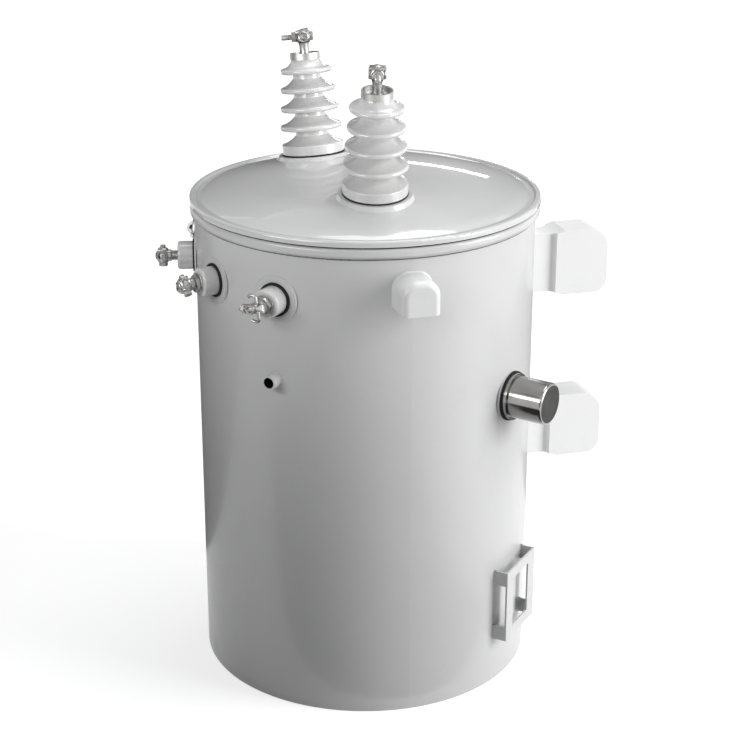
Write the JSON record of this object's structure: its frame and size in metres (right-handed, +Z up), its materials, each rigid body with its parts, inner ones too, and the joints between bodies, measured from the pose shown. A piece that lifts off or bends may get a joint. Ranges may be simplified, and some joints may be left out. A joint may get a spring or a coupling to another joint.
{
  "type": "single-phase transformer",
  "caption": "Pole-type single-phase transformer: round steel tank with domed cover, porcelain bushings, tap changer cap, lifting lugs and pole hangers.",
  "frame": {"origin": "centre of the tank's base, on the floor", "axes": "+Z up along the tank, +Y towards the pole side with the hangers, -Y towards the low-voltage bushings"},
  "size_m": [0.634, 0.7274, 1.0076],
  "materials": {
    "tank_paint": "gloss",
    "cover_paint": "gloss",
    "lug_paint": "satin",
    "hanger_paint": "satin",
    "black_rubber": "matte",
    "porcelain": "gloss",
    "cap_metal": "satin",
    "tinned_metal": "satin",
    "tap_steel": "polished",
    "core_steel": "matte"
  },
  "bodies": {
    "root": {"tank_wall": "tank_paint", "tank_bottom": "tank_paint", "tank_rim": "tank_paint", "cover_gasket": "black_rubber", "cover": "cover_paint", "hv_gasket_right": "black_rubber", "hv_bushing_right": "porcelain", "hv_cap_right": "cap_metal", "hv_terminal_right": "tinned_metal", "hv_bolt_right": "tinned_metal", "hv_gasket_left": "black_rubber", "hv_bushing_left": "porcelain", "hv_cap_left": "cap_metal", "hv_terminal_left": "tinned_metal", "hv_bolt_left": "tinned_metal", "lv_gasket_1": "black_rubber", "lv_bushing_1": "porcelain", "lv_stud_1": "tinned_metal", "lv_clamp_1": "tinned_metal", "lv_gasket_2": "black_rubber", "lv_bushing_2": "porcelain", "lv_stud_2": "tinned_metal", "lv_clamp_2": "tinned_metal", "lv_gasket_3": "black_rubber", "lv_bushing_3": "porcelain", "lv_stud_3": "tinned_metal", "lv_clamp_3": "tinned_metal", "lv_gasket_4": "black_rubber", "lv_bushing_4": "porcelain", "lv_stud_4": "tinned_metal", "lv_clamp_4": "tinned_metal", "lifting_lug_right": "lug_paint", "lifting_lug_left": "lug_paint", "hanger_upper": "hanger_paint", "hanger_lower": "hanger_paint", "tap_gasket": "black_rubber", "tap_flange": "tap_steel", "tap_cap": "tap_steel", "nameplate_bracket": "tank_paint", "pipe_stub": "tank_paint", "core_and_coils": "core_steel"}
  },
  "joints": []
}
